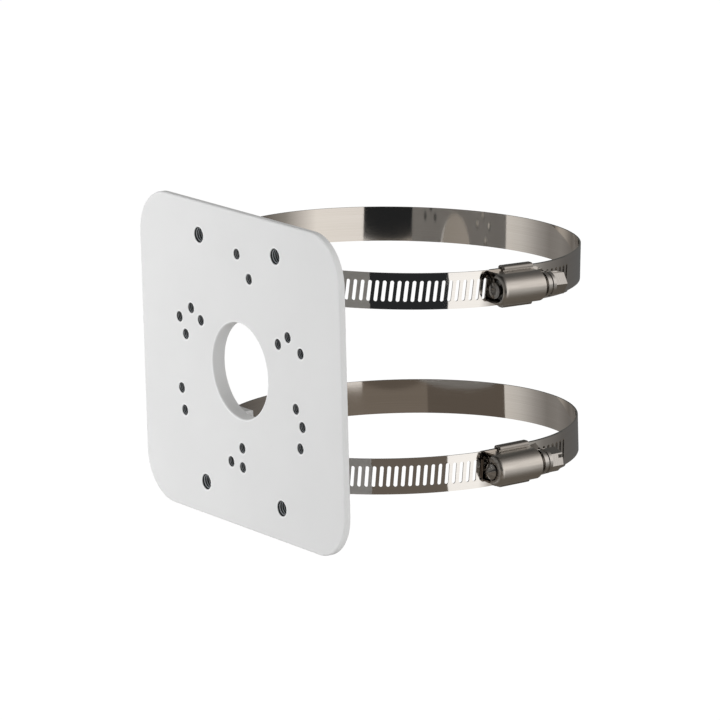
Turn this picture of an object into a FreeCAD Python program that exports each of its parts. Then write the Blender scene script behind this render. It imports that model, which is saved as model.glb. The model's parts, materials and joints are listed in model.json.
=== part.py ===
# A pole mount bracket: a flat plate with ears behind it, and two worm-drive hose clamps that go round a pole.
# Millimetres. The plate's front face is the plane Y = 0 and looks along -Y, +Z is up,
# and the origin is the centre of the cable hole. The pole and the clamps are behind the plate, at +Y.
import FreeCAD, Part
import math
import os
import Sketcher
from FreeCAD import Placement, Rotation, Vector

doc = FreeCAD.newDocument("pole_mount_bracket")

# Driving dimensions, each written once as a plain number with a word for its alias
DIMENSIONS = [
    ("plate_width", 134.0, "across, side to side"),
    ("plate_height", 122.4, "top to bottom"),
    ("plate_thickness", 2.5, "the sheet at its edge"),
    ("plate_corner", 18.0, "radius of the four corners"),
    ("plate_edge", 0.8, "rounding of the front edge"),
    ("cable_hole", 37.0, "diameter of the cable hole"),
    ("cable_hole_edge", 0.6, "rounding of the cable hole's front edge"),
    ("pad_width", 96.0, "raised pad behind the small holes, across"),
    ("pad_height", 53.0, "raised pad, top to bottom"),
    ("pad_depth", 5.5, "from the front face to the pad's back"),
    ("small_hole", 4.0, "diameter of the small threaded holes"),
    ("large_hole", 6.0, "diameter of the large threaded holes"),
    ("large_hole_depth", 14.0, "depth of the blind large holes"),
    ("hole_edge", 0.25, "bevel round each threaded hole"),
    ("circle_small", 60.0, "diameter of the circle of three small holes"),
    ("circle_middle", 75.0, "diameter of the circle of three, and of four, small holes"),
    ("circle_large", 90.0, "diameter of the circle of three small holes"),
    ("trio_turn", 30.0, "angle of the first hole of the two upright trios"),
    ("trio_down_turn", -30.0, "angle of the first hole of the inverted trio"),
    ("cross_turn", 78.0, "angle of the first hole of the four on a circle"),
    ("side_holes_across", 81.4, "small holes at the sides, left to right"),
    ("side_holes_high", 28.0, "small holes at the sides, upper to lower"),
    ("corner_holes_across", 51.1, "large holes, left to right"),
    ("corner_holes_high", 96.5, "large holes, upper to lower"),
    ("ear_width", 9.0, "each ear, across"),
    ("ear_depth", 20.2, "from the front face to the ear's tip"),
    ("ear_near", 22.3, "height where each ear starts, from the middle"),
    ("ear_far", 53.5, "height where each ear ends, from the middle"),
    ("ear_edge", 1.5, "rounding round the ear's tip"),
    ("window_near", 26.5, "height where the band's window starts"),
    ("window_far", 44.1, "height where the band's window ends"),
    ("window_front", 4.0, "from the front face to the window"),
    ("window_back", 13.5, "from the front face to the window's far side"),
    ("ring_radius", 69.0, "middle of the band's thickness, inner layer"),
    ("flat_depth", 1.8, "how far the housing holds the band inside the circle"),
    ("flat_length", 16.0, "straight stretch of the band through the housing"),
    ("band_thickness", 0.65, "steel strip"),
    ("band_width", 13.65, "steel strip"),
    ("band_lap_gap", 0.15, "between the band's two layers"),
    ("upper_tongue", 10.2, "fixed end of the upper band, from the housing's middle"),
    ("lower_tongue", 12.4, "fixed end of the lower band, from the housing's middle"),
    ("upper_tail", 34.07, "loose end of the upper band, from the housing's middle"),
    ("lower_tail", 34.11, "loose end of the lower band, from the housing's middle"),
    ("band_corner", 1.5, "rounding of the band's end corners"),
    ("slot_pitch", 2.742, "from slot to slot along the band"),
    ("slot_length", 8.0, "each slot, with its round ends"),
    ("slot_width", 1.4, "each slot"),
    ("slot_lean", 6.0, "the slots follow the screw's thread"),
    ("slot_end_margin", 1.6, "steel left beyond the last slot"),
    ("slotted_length", 200.0, "stretch of the band that has slots, from its loose end"),
    ("screw_height", 6.0, "screw's axis above the middle of the inner layer"),
    ("saddle_length", 13.4, "along the screw"),
    ("saddle_shift", 2.5, "saddle's middle, from the housing's middle towards the head"),
    ("saddle_width", 15.9, "across the band"),
    ("saddle_sheet", 0.8, "sheet thickness"),
    ("saddle_mouth", 12.6, "between the lips that hold the housing"),
    ("saddle_edge", 1.2, "rounding of the folds"),
    ("fit_gap", 0.05, "between parts that are crimped together"),
    ("housing_front", 11.0, "from the clamp's middle to the housing's front end"),
    ("housing_back", 8.7, "from the clamp's middle to the housing's back end"),
    ("housing_radius", 5.85, "outside of the arch"),
    ("housing_sheet", 0.75, "sheet thickness"),
    ("housing_front_edge", 1.7, "rounding of the curled front end"),
    ("front_wall", 1.5, "from the front end to the room inside"),
    ("upper_opening", 4.6, "radius of the upper housing's front opening"),
    ("lower_opening", 3.5, "radius of the lower housing's front opening"),
    ("front_mouth_drop", 1.0, "the curl ends this far below the screw's axis"),
    ("front_mouth_depth", 2.5, "how far back the housing is open towards the band"),
    ("bearing_radius", 3.0, "screw's journal in the housing's back wall"),
    ("bearing_gap", 0.08, "running clearance of the journal"),
    ("bearing_mouth", 4.8, "gap in the back wall, towards the band"),
    ("worm_radius", 4.0, "root of the worm's thread"),
    ("worm_play", 0.3, "end clearance of the worm in the housing"),
    ("worm_front", 8.35, "from the clamp's middle to the worm's front end"),
    ("tip_neck", 2.2, "radius of the neck between the worm and the point"),
    ("tip_radius", 3.05, "radius of the point"),
    ("tip_back", 10.8, "from the clamp's middle to the point's back face"),
    ("tip_ring", 11.6, "from the clamp's middle to where the point's cone starts"),
    ("upper_tip_bevel", 0.4, "length of the cone on the upper screw's point"),
    ("lower_tip_bevel", 1.9, "length of the cone on the lower screw's point"),
    ("upper_tip_face", 1.7, "radius of the upper point's end face"),
    ("lower_tip_face", 0.6, "radius of the lower point's end face"),
    ("upper_tip_recess", 1.1, "radius of the hollow in the upper point's end face"),
    ("upper_tip_recess_depth", 0.9, "depth of that hollow"),
    ("neck_length", 2.1, "between the housing and the collar"),
    ("collar_radius", 4.75, "collar under the head"),
    ("collar_length", 3.6, "collar under the head"),
    ("collar_groove", 0.35, "depth of the groove round the collar"),
    ("head_flats", 8.0, "hexagon head across its flats"),
    ("head_length", 5.6, "hexagon head"),
    ("head_edge", 0.5, "rounding round the head's end"),
    ("driver_slot_width", 1.3, "screwdriver slot"),
    ("driver_slot_depth", 2.4, "screwdriver slot"),
    ("driver_slot_turn", 16.2, "from the middle of one of the head's flats to the screwdriver slot"),
    ("upper_head_turn", 92.2, "upper head at rest, from the ring's outward side to a flat's middle"),
    ("lower_head_turn", 10.5, "lower head at rest, from the ring's outward side to a flat's middle"),
    ("upper_ring_side", 1.3, "centre of the upper ring, X"),
    ("upper_ring_near", 4.7, "from the front face to the upper ring's near side"),
    ("upper_ring_high", 33.7, "centre of the upper ring, Z"),
    ("upper_ring_droop", -2.65, "upper ring's tilt about X: its far side hangs lower"),
    ("upper_ring_roll", 0.0, "upper ring's tilt about Y"),
    ("upper_screw_turn", 1.65, "angle from the ring's side to the upper housing"),
    ("lower_ring_side", 0.45, "centre of the lower ring, X"),
    ("lower_ring_near", 3.1, "from the front face to the lower ring's near side"),
    ("lower_ring_high", -36.7, "centre of the lower ring, Z"),
    ("lower_ring_droop", -0.6, "lower ring's tilt about X"),
    ("lower_ring_roll", -1.4, "lower ring's tilt about Y"),
    ("lower_screw_turn", 1.05, "angle from the ring's side to the lower housing"),
]

sheet = doc.addObject("Spreadsheet::Sheet", "sizes")
for row, (alias, number, note) in enumerate(DIMENSIONS, start=1):
    sheet.set(f"A{row}", alias)
    sheet.set(f"B{row}", str(number))
    sheet.setAlias(f"B{row}", alias)
    sheet.set(f"C{row}", note)
doc.recompute()


def size(alias):
    """The number in the cell with this alias."""
    return float(sheet.get(alias))


def new_body(name):
    """An empty body whose label names its file."""
    body = doc.addObject("PartDesign::Body", name)
    body.Label = name
    return body


def origin_part(body, role):
    """One of the body's own origin planes or axes."""
    for feature in body.Origin.OriginFeatures:
        if feature.Role == role:
            return feature
    raise ValueError(f"{body.Label} has no {role}")


def new_sketch(body, name, role, offset=None):
    """A sketch on one of the body's origin planes, moved out along its normal by an expression."""
    sketch = body.newObject("Sketcher::SketchObject", name)
    sketch.AttachmentSupport = [(origin_part(body, role), "")]
    sketch.MapMode = "FlatFace"
    if offset is not None:
        sketch.setExpression("AttachmentOffset.Base.z", offset)
    return sketch


def bind(sketch, kind, target, expression):
    """Add one constraint of the sketch and tie it to an expression."""
    value = float(sketch.evalExpression(expression))
    index = sketch.addConstraint(Sketcher.Constraint(kind, *target, value))
    sketch.setExpression(f"Constraints[{index}]", expression)


def add_rectangle(sketch, left, right, low, high):
    """A rectangle between four expressions."""
    x0, x1, y0, y1 = (float(sketch.evalExpression(text)) for text in (left, right, low, high))
    corners = [Vector(x0, y0), Vector(x1, y0), Vector(x1, y1), Vector(x0, y1)]
    first = sketch.GeometryCount
    for index in range(4):
        sketch.addGeometry(Part.LineSegment(corners[index], corners[(index + 1) % 4]))
    for index in range(4):
        following = first + (index + 1) % 4
        sketch.addConstraint(Sketcher.Constraint("Coincident", first + index, 2, following, 1))
        straight = "Horizontal" if index % 2 == 0 else "Vertical"
        sketch.addConstraint(Sketcher.Constraint(straight, first + index))
    bind(sketch, "DistanceX", (first, 1), left)
    bind(sketch, "DistanceY", (first, 1), low)
    bind(sketch, "DistanceX", (first + 2, 1), right)
    bind(sketch, "DistanceY", (first + 2, 1), high)


def add_circle(sketch, diameter, across=None, up=None):
    """A circle at two expressions, or on the origin where they are left out."""
    x = float(sketch.evalExpression(across)) if across else 0.0
    y = float(sketch.evalExpression(up)) if up else 0.0
    radius = float(sketch.evalExpression(diameter)) / 2
    index = sketch.addGeometry(Part.Circle(Vector(x, y), Vector(0, 0, 1), radius))
    if across is None and up is None:
        sketch.addConstraint(Sketcher.Constraint("Coincident", index, 3, -1, 1))
    elif up is None:
        sketch.addConstraint(Sketcher.Constraint("PointOnObject", index, 3, -1))
        bind(sketch, "DistanceX", (index, 3), across)
    else:
        bind(sketch, "DistanceX", (index, 3), across)
        bind(sketch, "DistanceY", (index, 3), up)
    bind(sketch, "Diameter", (index,), diameter)


def add_polygon(sketch, corners):
    """A closed outline whose every corner is a pair of expressions."""
    points = [Vector(*(float(sketch.evalExpression(text)) for text in corner)) for corner in corners]
    first = sketch.GeometryCount
    count = len(points)
    for index in range(count):
        sketch.addGeometry(Part.LineSegment(points[index], points[(index + 1) % count]))
    for index in range(count):
        following = first + (index + 1) % count
        sketch.addConstraint(Sketcher.Constraint("Coincident", first + index, 2, following, 1))
        bind(sketch, "DistanceX", (first + index, 1), corners[index][0])
        bind(sketch, "DistanceY", (first + index, 1), corners[index][1])


def extrude(body, kind, name, sketch, length, reverse=False, middle=False):
    """A Pad or a Pocket of the sketch; a Pocket has to take material away."""
    doc.recompute()
    before = body.Shape.Volume if body.Tip else 0.0
    feature = body.newObject("PartDesign::" + kind, name)
    feature.Profile = sketch
    feature.setExpression("Length", length)
    feature.Reversed = reverse
    if middle:
        feature.SideType = "Symmetric"
    sketch.Visibility = False
    doc.recompute()
    change = body.Shape.Volume - before
    if (kind == "Pocket") == (change >= 0):
        raise ValueError(f"{name} changed the volume of {body.Label} by {change:.3f}")
    return feature


def repeat_round(body, name, feature, role, count):
    """Copies of a feature, evenly spaced round one of the body's axes."""
    pattern = body.newObject("PartDesign::PolarPattern", name)
    pattern.Originals = [feature]
    pattern.Axis = (origin_part(body, role), [""])
    pattern.Angle = 360
    pattern.Occurrences = count
    body.Tip = pattern
    doc.recompute()
    return pattern


def dress(body, kind, name, expression, wanted):
    """A Fillet or a Chamfer on the edges that pass the test."""
    doc.recompute()
    base = body.Tip
    edges = [f"Edge{i}" for i, edge in enumerate(base.Shape.Edges, start=1) if wanted(edge)]
    feature = body.newObject("PartDesign::" + kind, name)
    feature.Base = (base, edges)
    feature.setExpression("Radius" if kind == "Fillet" else "Size", expression)
    doc.recompute()
    return feature


def lies_at(edge, axis, value):
    """True where the whole edge lies in the plane axis = value."""
    box = edge.BoundBox
    low = getattr(box, axis + "Min")
    high = getattr(box, axis + "Max")
    return abs(low - value) < 1e-3 and abs(high - value) < 1e-3


def runs_along(edge, axis):
    """True for a straight edge that is parallel to the axis."""
    others = [name for name in "XYZ" if name != axis]
    lengths = [getattr(edge.BoundBox, name + "Length") for name in others]
    return isinstance(edge.Curve, Part.Line) and max(lengths) < 1e-3


def is_circle(edge, radius):
    """True for a circular edge with this radius."""
    return isinstance(edge.Curve, Part.Circle) and abs(edge.Curve.Radius - radius) < 1e-3


# The plate is one casting: a thin sheet, a raised pad behind its middle and four ears with windows

def make_plate():
    body = new_body("mounting_plate")

    outline = new_sketch(body, "plate_outline", "XZ_Plane")
    add_rectangle(outline, "-sizes.plate_width / 2", "sizes.plate_width / 2",
                  "-sizes.plate_height / 2", "sizes.plate_height / 2")
    extrude(body, "Pad", "plate_sheet", outline, "sizes.plate_thickness", reverse=True)
    dress(body, "Fillet", "plate_corners", "sizes.plate_corner", lambda edge: runs_along(edge, "Y"))
    dress(body, "Fillet", "plate_front_edge", "sizes.plate_edge", lambda edge: lies_at(edge, "Y", 0.0))

    pad = new_sketch(body, "pad_outline", "XZ_Plane", "-sizes.plate_thickness + sizes.plate_edge")
    add_rectangle(pad, "-sizes.pad_width / 2", "sizes.pad_width / 2",
                  "-sizes.pad_height / 2", "sizes.pad_height / 2")
    extrude(body, "Pad", "pad_block", pad,
            "sizes.pad_depth - sizes.plate_thickness + sizes.plate_edge", reverse=True)

    ears = new_sketch(body, "ear_outlines", "XZ_Plane", "-sizes.plate_thickness + sizes.plate_edge")
    for side in ("-", ""):
        near = f"{side}(sizes.corner_holes_across - sizes.ear_width) / 2"
        far = f"{side}(sizes.corner_holes_across + sizes.ear_width) / 2"
        left, right = (far, near) if side else (near, far)
        add_rectangle(ears, left, right, "sizes.ear_near", "sizes.ear_far")
        add_rectangle(ears, left, right, "-sizes.ear_far", "-sizes.ear_near")
    extrude(body, "Pad", "ear_blocks", ears,
            "sizes.ear_depth - sizes.plate_thickness + sizes.plate_edge", reverse=True)
    dress(body, "Fillet", "ear_tips", "sizes.ear_edge", lambda edge: lies_at(edge, "Y", size("ear_depth")))

    windows = new_sketch(body, "window_outlines", "YZ_Plane")
    for low, high in (("sizes.window_near", "sizes.window_far"), ("-sizes.window_far", "-sizes.window_near")):
        add_rectangle(windows, "sizes.window_front", "sizes.window_back", low, high)
    extrude(body, "Pocket", "band_windows", windows, "sizes.plate_width", middle=True)

    hole = new_sketch(body, "cable_hole_outline", "XZ_Plane")
    add_circle(hole, "sizes.cable_hole")
    extrude(body, "Pocket", "cable_hole_cut", hole, "sizes.pad_depth")

    trios = [
        ("small_trio", "sizes.circle_small", "sizes.trio_turn", 3),
        ("middle_trio", "sizes.circle_middle", "sizes.trio_turn", 3),
        ("middle_four", "sizes.circle_middle", "sizes.cross_turn", 4),
        ("large_trio", "sizes.circle_large", "sizes.trio_down_turn", 3),
    ]
    for name, circle, turn, count in trios:
        spot = new_sketch(body, name + "_outline", "XZ_Plane")
        add_circle(spot, "sizes.small_hole", f"{circle} / 2 * cos({turn})", f"{circle} / 2 * sin({turn})")
        drilled = extrude(body, "Pocket", name + "_hole", spot, "sizes.pad_depth")
        repeat_round(body, name, drilled, "Y_Axis", count)

    def four_holes(name, diameter, across, high, depth):
        spots = new_sketch(body, name + "_outline", "XZ_Plane")
        for x_sign in ("-", ""):
            for z_sign in ("-", ""):
                add_circle(spots, diameter, f"{x_sign}{across} / 2", f"{z_sign}{high} / 2")
        extrude(body, "Pocket", name, spots, depth)

    four_holes("side_holes", "sizes.small_hole", "sizes.side_holes_across", "sizes.side_holes_high",
               "sizes.pad_depth")
    four_holes("corner_holes", "sizes.large_hole", "sizes.corner_holes_across", "sizes.corner_holes_high",
               "sizes.large_hole_depth")

    def threaded_rim(edge):
        radii = (size("small_hole") / 2, size("large_hole") / 2)
        return lies_at(edge, "Y", 0.0) and any(is_circle(edge, radius) for radius in radii)

    dress(body, "Chamfer", "hole_bevels", "sizes.hole_edge", threaded_rim)
    dress(body, "Fillet", "cable_hole_rim", "sizes.cable_hole_edge",
          lambda edge: lies_at(edge, "Y", 0.0) and is_circle(edge, size("cable_hole") / 2))
    return body


# The band is one steel strip: its fixed end lies under the housing, it goes once round the pole,
# comes in one layer further out and passes over itself through the housing.
# In the ring's own frame +X points to the housing's middle and +Z is the ring's axis.

class Run:
    """A straight run of the strip's middle line, parallel to +Y."""

    def __init__(self, x, start, end):
        self.x, self.start, self.end = x, start, end
        self.length = end - start

    def place(self, distance):
        return Vector(self.x, self.start + distance, 0), 0.0

    def shortened(self, length):
        return Run(self.x, self.start, self.start + length)

    def edge(self, offset):
        x = self.x + offset
        return Part.LineSegment(Vector(x, self.start, 0), Vector(x, self.end, 0)).toShape()


class Bend:
    """An arc of the strip's middle line, anticlockwise, with its angles in degrees."""

    def __init__(self, centre, radius, start, end):
        self.centre, self.radius, self.start, self.end = centre, radius, start, end
        self.length = radius * math.radians(end - start)

    def point(self, angle, offset=0.0):
        turn = math.radians(angle)
        return self.centre + Vector(math.cos(turn), math.sin(turn), 0) * (self.radius + offset)

    def place(self, distance):
        angle = self.start + math.degrees(distance / self.radius)
        return self.point(angle), angle

    def shortened(self, length):
        return Bend(self.centre, self.radius, self.start, self.start + math.degrees(length / self.radius))

    def edge(self, offset):
        angles = (self.start, (self.start + self.end) / 2, self.end)
        return Part.Arc(*(self.point(angle, offset) for angle in angles)).toShape()


def corner_of(side_x):
    """The arc that joins the ring's circle to a straight stretch at side_x: its centre, radius and turn.

    The arc touches the stretch at its end and the circle from inside, which gives its radius."""
    ring = size("ring_radius")
    half = size("flat_length") / 2
    radius = (ring ** 2 - side_x ** 2 - half ** 2) / (2 * (ring - side_x))
    across = side_x - radius
    return across, radius, math.degrees(math.atan2(half, across))


def strip_path(side):
    """The middle line of the strip's thickness, from the fixed end to the loose end."""
    origin = Vector(0, 0, 0)
    ring = size("ring_radius")
    half = size("flat_length") / 2
    step = size("band_thickness") + size("band_lap_gap")
    inner_x = ring - size("flat_depth")
    outer_x = inner_x + step
    leave_x, leave_radius, leave_turn = corner_of(inner_x)
    enter_x, enter_radius, enter_turn = corner_of(outer_x)
    tongue_radius = enter_radius - step
    tongue_turn = math.degrees((size(side + "_tongue") - half) / tongue_radius)
    once_round = [
        Bend(Vector(enter_x, -half, 0), tongue_radius, -tongue_turn, 0),
        Run(inner_x, -half, half),
        Bend(Vector(leave_x, half, 0), leave_radius, 0, leave_turn),
        Bend(origin, ring, leave_turn, 360 - enter_turn),
        Bend(Vector(enter_x, -half, 0), enter_radius, 360 - enter_turn, 360),
        Run(outer_x, -half, 0),
    ]
    over_itself = [
        Run(outer_x, 0, half),
        Bend(Vector(leave_x, half, 0), leave_radius + step, 0, leave_turn),
        Bend(origin, ring + step, leave_turn, 360 - enter_turn),
    ]
    left = size(side + "_tail")
    tail = []
    for piece in over_itself:
        if left > 0:
            tail.append(piece.shortened(min(left, piece.length)))
            left -= piece.length
    return once_round + tail


def place_on(path, distance):
    """The point and the outward angle at a distance along the path."""
    for piece in path:
        if distance <= piece.length:
            return piece.place(distance)
        distance -= piece.length
    raise ValueError("the place is past the strip's end")


def slot_plug(point, angle, depth, height):
    """A round-ended slot's plug at a point of the path, leaning as the thread does."""
    half_width = size("slot_width") / 2
    half_straight = size("slot_length") / 2 - half_width
    corners = [Vector(-depth, y, z) for y, z in
               ((half_width, -half_straight), (half_width, half_straight),
                (-half_width, half_straight), (-half_width, -half_straight))]
    top = Vector(-depth, 0, half_straight + half_width)
    bottom = Vector(-depth, 0, -half_straight - half_width)
    edges = [
        Part.LineSegment(corners[0], corners[1]).toShape(),
        Part.Arc(corners[1], top, corners[2]).toShape(),
        Part.LineSegment(corners[2], corners[3]).toShape(),
        Part.Arc(corners[3], bottom, corners[0]).toShape(),
    ]
    plug = Part.Face(Part.Wire(edges)).extrude(Vector(depth + height, 0, 0))
    plug.rotate(Vector(0, 0, 0), Vector(1, 0, 0), -size("slot_lean"))
    plug.rotate(Vector(0, 0, 0), Vector(0, 0, 1), angle)
    plug.translate(point)
    return plug


def strip_shape(side):
    """The slotted strip of one clamp, in the ring's own frame."""
    path = strip_path(side)
    thickness = size("band_thickness")
    width = size("band_width")
    inner = [piece.edge(-thickness / 2) for piece in path]
    outer = [piece.edge(thickness / 2) for piece in path]
    fixed_end = Part.LineSegment(inner[0].valueAt(inner[0].FirstParameter),
                                 outer[0].valueAt(outer[0].FirstParameter)).toShape()
    loose_end = Part.LineSegment(inner[-1].valueAt(inner[-1].LastParameter),
                                 outer[-1].valueAt(outer[-1].LastParameter)).toShape()
    outline = Part.Wire(Part.__sortEdges__(inner + [loose_end] + outer + [fixed_end]))
    strip = Part.Face(outline).extrude(Vector(0, 0, width))
    strip.translate(Vector(0, 0, -width / 2))
    length = sum(piece.length for piece in path)

    between_layers = (thickness + size("band_lap_gap")) / 2
    lap_start = -size(side + "_tongue") - size("slot_width")
    plugs = []
    distance = length - size("slot_end_margin") - size("slot_width") / 2
    while distance > length - size("slotted_length"):
        point, angle = place_on(path, distance)
        on_itself = point.x > 0 and point.y > lap_start
        plugs.append(slot_plug(point, angle, between_layers if on_itself else 2 * thickness, 2 * thickness))
        distance -= size("slot_pitch")
    strip = strip.cut(plugs)

    ends = [edge for edge in strip.Edges
            if abs(edge.Length - thickness) < 1e-3 and abs(abs(edge.CenterOfMass.z) - width / 2) < 1e-3]
    return strip.makeFillet(size("band_corner"), ends)


def make_band(side):
    band = doc.addObject("Part::Feature", side + "_band")
    band.Label = side + "_band"
    band.Shape = strip_shape(side)
    return band


# The saddle is a folded channel under the band; its lips are crimped over the housing's feet

def make_saddle(side):
    body = new_body(side + "_saddle")
    floor = "sizes.flat_side - sizes.band_thickness / 2 - sizes.fit_gap"
    base = f"{floor} - sizes.saddle_sheet"
    ceiling = "sizes.foot_top + sizes.fit_gap"
    top = f"{ceiling} + sizes.saddle_sheet"
    outside = new_sketch(body, side + "_saddle_outside", "XZ_Plane", "-sizes.saddle_shift")
    add_rectangle(outside, base, top, "-sizes.saddle_width / 2", "sizes.saddle_width / 2")
    extrude(body, "Pad", side + "_saddle_block", outside, "sizes.saddle_length", middle=True)
    dress(body, "Fillet", side + "_saddle_folds", "sizes.saddle_edge", lambda edge: runs_along(edge, "Y"))
    inside = new_sketch(body, side + "_saddle_inside", "XZ_Plane")
    inner_half = "(sizes.saddle_width / 2 - sizes.saddle_sheet)"
    add_rectangle(inside, floor, ceiling, f"-{inner_half}", inner_half)
    extrude(body, "Pocket", side + "_saddle_channel", inside, "2 * sizes.saddle_length", middle=True)
    mouth = new_sketch(body, side + "_saddle_mouth", "XZ_Plane")
    add_rectangle(mouth, floor, f"{top} + sizes.saddle_sheet",
                  "-sizes.saddle_mouth / 2", "sizes.saddle_mouth / 2")
    extrude(body, "Pocket", side + "_saddle_opening", mouth, "2 * sizes.saddle_length", middle=True)
    return body


# The housing is an arch of sheet over the screw, with feet on the band and an end wall at each end

def pad_between(body, name, sketch_name, draw, front, back):
    """A pad from -front to +back along the body's Y axis; draw puts the outline in its sketch."""
    sketch = new_sketch(body, sketch_name, "XZ_Plane", front)
    draw(sketch)
    return extrude(body, "Pad", name, sketch, f"{front} + {back}", reverse=True)


def make_housing(side):
    body = new_body(side + "_housing")
    axis = "sizes.flat_side + sizes.screw_height"
    front = "sizes.housing_front"
    back = "sizes.housing_back"

    pad_between(body, side + "_leg_block", side + "_legs", lambda sketch: add_rectangle(
        sketch, "sizes.foot_bottom", axis, "-sizes.housing_radius", "sizes.housing_radius"), front, back)
    pad_between(body, side + "_arch_block", side + "_arch", lambda sketch: add_circle(
        sketch, "2 * sizes.housing_radius", axis), front, back)
    below = new_sketch(body, side + "_below", "XZ_Plane")
    add_rectangle(below, "sizes.foot_bottom - 2 * sizes.housing_radius", "sizes.foot_bottom",
                  "-2 * sizes.housing_radius", "2 * sizes.housing_radius")
    extrude(body, "Pocket", side + "_below_cut", below, f"2 * ({front} + {back})", middle=True)

    def front_rim(edge):
        return lies_at(edge, "Y", -size("housing_front")) and edge.BoundBox.XMax > size("foot_top")

    dress(body, "Fillet", side + "_front_curl", "sizes.housing_front_edge", front_rim)

    feet = new_sketch(body, side + "_feet", "XZ_Plane", "-sizes.saddle_shift")
    add_rectangle(feet, "sizes.foot_bottom", "sizes.foot_top",
                  "-sizes.saddle_width / 2 + sizes.saddle_sheet + sizes.fit_gap",
                  "sizes.saddle_width / 2 - sizes.saddle_sheet - sizes.fit_gap")
    extrude(body, "Pad", side + "_feet_block", feet, "sizes.saddle_length", middle=True)

    room_front = f"({front} - sizes.front_wall)"
    room_length = f"{room_front} + {back} - sizes.housing_sheet"
    room = new_sketch(body, side + "_room", "XZ_Plane", room_front)
    add_rectangle(room, "sizes.foot_bottom - sizes.fit_gap", axis,
                  "-sizes.housing_radius + sizes.housing_sheet", "sizes.housing_radius - sizes.housing_sheet")
    extrude(body, "Pocket", side + "_leg_room", room, room_length)
    vault = new_sketch(body, side + "_vault", "XZ_Plane", room_front)
    add_circle(vault, "2 * (sizes.housing_radius - sizes.housing_sheet)", axis)
    extrude(body, "Pocket", side + "_arch_room", vault, room_length)

    opening = new_sketch(body, side + "_front_opening", "XZ_Plane", f"{front} + sizes.fit_gap")
    add_circle(opening, f"2 * sizes.{side}_opening", axis)
    extrude(body, "Pocket", side + "_opening_cut", opening, "2 * sizes.front_wall")
    front_mouth = new_sketch(body, side + "_front_mouth", "XZ_Plane", f"{front} + sizes.fit_gap")
    add_rectangle(front_mouth, "sizes.foot_bottom - sizes.fit_gap", f"{axis} - sizes.front_mouth_drop",
                  "-2 * sizes.housing_radius", "2 * sizes.housing_radius")
    extrude(body, "Pocket", side + "_front_mouth_cut", front_mouth, "sizes.front_mouth_depth + sizes.fit_gap")

    bearing = new_sketch(body, side + "_bearing", "XZ_Plane")
    add_circle(bearing, "2 * (sizes.bearing_radius + sizes.bearing_gap)", axis)
    extrude(body, "Pocket", side + "_bearing_hole", bearing, "2 * sizes.housing_back")
    mouth = new_sketch(body, side + "_bearing_mouth", "XZ_Plane")
    add_rectangle(mouth, "sizes.foot_bottom - sizes.fit_gap", axis,
                  "-sizes.bearing_mouth / 2", "sizes.bearing_mouth / 2")
    extrude(body, "Pocket", side + "_bearing_mouth_cut", mouth, "2 * sizes.housing_back")
    return body


# The screw turns in the housing's back wall: a point, a neck, the worm's core, a journal, a grooved collar
# and a head

def tip_centre(side, end):
    """The profile's first corners: a conical hollow in the upper point, or the lower point's middle."""
    if side == "upper":
        return [("0", f"{end} + sizes.upper_tip_recess_depth"), ("sizes.upper_tip_recess", end)]
    return [("0", end)]


def make_screw(side):
    body = new_body(side + "_worm_screw")
    back = "sizes.housing_back"
    worm_end = f"{back} - sizes.housing_sheet - sizes.worm_play"
    worm_start = "-sizes.worm_front"
    tip_end = f"-sizes.tip_ring - sizes.{side}_tip_bevel"
    collar_start = f"{back} + sizes.neck_length"
    collar_end = f"{collar_start} + sizes.collar_length"
    head_end = f"{collar_end} + sizes.head_length"
    ridge = "sizes.collar_length * 0.35"
    journal = "sizes.bearing_radius"
    profile = new_sketch(body, side + "_screw_profile", "XY_Plane")
    add_polygon(profile, [
        *tip_centre(side, tip_end),
        (f"sizes.{side}_tip_face", tip_end),
        ("sizes.tip_radius", "-sizes.tip_ring"),
        ("sizes.tip_radius", "-sizes.tip_back"),
        ("sizes.tip_neck", "-sizes.tip_back"),
        ("sizes.tip_neck", worm_start),
        ("sizes.worm_radius", worm_start),
        ("sizes.worm_radius", worm_end),
        (journal, worm_end),
        (journal, collar_start),
        ("sizes.collar_radius", collar_start),
        ("sizes.collar_radius", f"{collar_start} + {ridge}"),
        ("sizes.collar_radius - sizes.collar_groove", f"{collar_start} + {ridge}"),
        ("sizes.collar_radius - sizes.collar_groove", f"{collar_end} - {ridge}"),
        ("sizes.collar_radius", f"{collar_end} - {ridge}"),
        ("sizes.collar_radius", collar_end),
        ("sizes.head_flats / 2", collar_end),
        ("sizes.head_flats / 2", head_end),
        ("0", head_end),
    ])
    turned = body.newObject("PartDesign::Revolution", side + "_screw_turned")
    turned.Profile = profile
    turned.ReferenceAxis = (profile, ["V_Axis"])
    turned.Angle = 360
    doc.recompute()

    head = new_sketch(body, side + "_head_outline", "XZ_Plane", f"-({collar_end})")
    corner = "sizes.head_flats / 2 / cos(30)"
    angles = [f"(sizes.{side}_head_turn + {30 + 60 * step})" for step in range(6)]
    add_polygon(head, [(f"{corner} * cos{angle}", f"{corner} * sin{angle}") for angle in angles])
    extrude(body, "Pad", side + "_head_block", head, "sizes.head_length", reverse=True)
    far = sum(size(alias) for alias in ("housing_back", "neck_length", "collar_length", "head_length"))
    dress(body, "Fillet", side + "_head_rim", "sizes.head_edge", lambda edge: lies_at(edge, "Y", far))

    tool = new_sketch(body, side + "_driver_outline", "XZ_Plane", f"-({head_end})")
    turn = f"(sizes.{side}_head_turn + sizes.driver_slot_turn)"
    reach = "sizes.head_flats"
    half = "sizes.driver_slot_width / 2"
    add_polygon(tool, [
        (f"{a}{reach} * cos{turn} - {b}{half} * sin{turn}", f"{a}{reach} * sin{turn} + {b}{half} * cos{turn}")
        for a, b in (("-", "-"), ("", "-"), ("", ""), ("-", ""))
    ])
    extrude(body, "Pocket", side + "_driver_slot", tool, "sizes.driver_slot_depth", reverse=True)
    return body


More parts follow.
